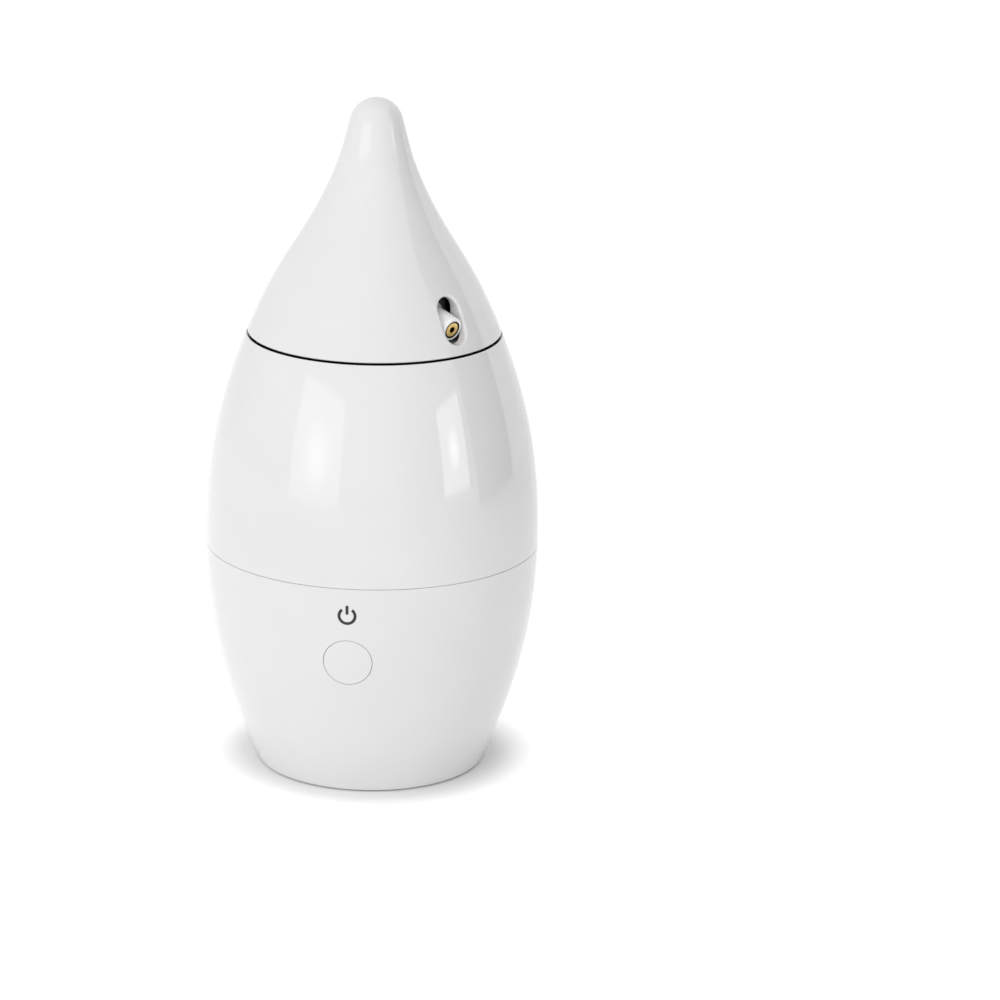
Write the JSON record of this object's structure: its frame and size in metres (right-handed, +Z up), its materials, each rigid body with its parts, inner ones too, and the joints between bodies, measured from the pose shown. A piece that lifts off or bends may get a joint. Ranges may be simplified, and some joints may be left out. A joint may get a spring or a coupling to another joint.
{
  "type": "automatic cat laser toy",
  "caption": "Free-standing drop-shaped cat toy: a motor turns its pointed cap, whose two slotted laser barrels nod as it turns; one push button starts it.",
  "frame": {"origin": "on the floor, under the axis that the cap turns on", "axes": "+Z up along the cap's axis, -Y out through the push button, +X to the right of someone who faces the button"},
  "size_m": [0.0934, 0.0934, 0.19],
  "materials": {
    "casing_white": "glossy",
    "barrel_white": "satin",
    "base_white": "satin",
    "foot_rubber": "matt",
    "screw_steel": "satin",
    "pin_steel": "polished",
    "spring_nickel": "plated",
    "motor_steel": "zinc plated",
    "chassis_grey": "matt",
    "battery_bay_black": "matt",
    "gear_acetal": "satin",
    "brass": "turned",
    "board_green": "satin",
    "part_black": "matt",
    "plug_white": "matt",
    "cell_sleeve": "gloss",
    "lens_glass": "clear"
  },
  "bodies": {
    "casing": {"lower_shell": "casing_white", "middle_shell": "casing_white", "base_plate": "base_white", "rubber_feet": "foot_rubber", "case_screws": "screw_steel", "tie_screws": "screw_steel", "bulkhead": "chassis_grey", "battery_bay": "battery_bay_black", "bay_contacts": "spring_nickel", "battery_cell_1": "cell_sleeve", "battery_cell_2": "cell_sleeve", "battery_cell_3": "cell_sleeve", "switch_body": "part_black", "control_board": "board_green", "board_screws": "screw_steel", "control_chip": "part_black", "board_parts": "part_black", "board_plugs": "plug_white", "drive_deck": "chassis_grey", "small_screws": "screw_steel", "motor_can": "motor_steel", "motor_end_bell": "part_black", "motor_terminals": "brass", "gear_axles": "pin_steel", "gear_bridge": "chassis_grey", "column": "chassis_grey", "crown_cam": "gear_acetal", "thrust_washer": "gear_acetal", "brush_block": "part_black", "brushes": "brass"},
    "cap": {"cap_shell": "casing_white", "turntable": "chassis_grey", "turntable_gear": "gear_acetal", "hub_clip": "pin_steel", "slip_ring_board": "board_green", "slip_ring_tracks": "brass", "cap_screws": "screw_steel", "laser_cradles": "chassis_grey", "cradle_screws": "screw_steel", "tilt_pins": "pin_steel", "nose_springs": "spring_nickel"},
    "laser_1": {"laser_barrel_1": "barrel_white", "laser_module_1": "brass", "laser_sleeve_1": "part_black", "laser_lens_1": "lens_glass", "laser_diode_1": "board_green"},
    "laser_2": {"laser_barrel_2": "barrel_white", "laser_module_2": "brass", "laser_sleeve_2": "part_black", "laser_lens_2": "lens_glass", "laser_diode_2": "board_green"},
    "button": {"button_cap": "casing_white", "switch_plunger": "part_black"},
    "door": {"battery_door": "base_white", "battery_door_screws": "screw_steel", "door_contacts": "spring_nickel"},
    "rotor": {"motor_shaft": "pin_steel", "motor_pinion": "brass"},
    "gear_1": {"first_gear": "gear_acetal"},
    "gear_2": {"second_gear": "gear_acetal"}
  },
  "joints": [
    {"name": "cap_spin", "type": "hinge", "parent": "casing", "child": "cap", "pos_m": [0, 0, 0.12], "axis": [0, 0, 1], "continuous": true},
    {"name": "laser_1_tilt", "type": "hinge", "parent": "cap", "child": "laser_1", "pos_m": [0.01395, -0.01138, 0.1343], "axis": [-0.632, -0.7749, 0], "range_deg": [0, 14]},
    {"name": "laser_2_tilt", "type": "hinge", "parent": "cap", "child": "laser_2", "pos_m": [-0.01395, 0.01138, 0.1343], "axis": [0.632, 0.7749, 0], "range_deg": [0, 14]},
    {"name": "button_press", "type": "slide", "parent": "casing", "child": "button", "axis": [0, 0.9876, 0.1568], "range_m": [0, 0.0008], "stiffness_N_per_m": 600},
    {"name": "battery_door_off", "type": "slide", "parent": "casing", "child": "door", "axis": [0, 0, -1], "range_m": [0, 0.03]},
    {"name": "gear_2_spin", "type": "hinge", "parent": "casing", "child": "gear_2", "pos_m": [0, 0.0248, 0.1], "axis": [0, 0, 1], "continuous": true},
    {"name": "gear_1_spin", "type": "hinge", "parent": "casing", "child": "gear_1", "pos_m": [-0.015, 0.0205, 0.1], "axis": [0, 0, 1], "continuous": true},
    {"name": "motor_spin", "type": "hinge", "parent": "casing", "child": "rotor", "pos_m": [-0.02444, 0.00884, 0.1], "axis": [0, 0, 1], "continuous": true}
  ],
  "couplings": [
    {"joint": "gear_2_spin", "follows": "cap_spin", "ratio": -4.1667},
    {"joint": "gear_1_spin", "follows": "cap_spin", "ratio": 13.889},
    {"joint": "motor_spin", "follows": "cap_spin", "ratio": -55.556}
  ]
}
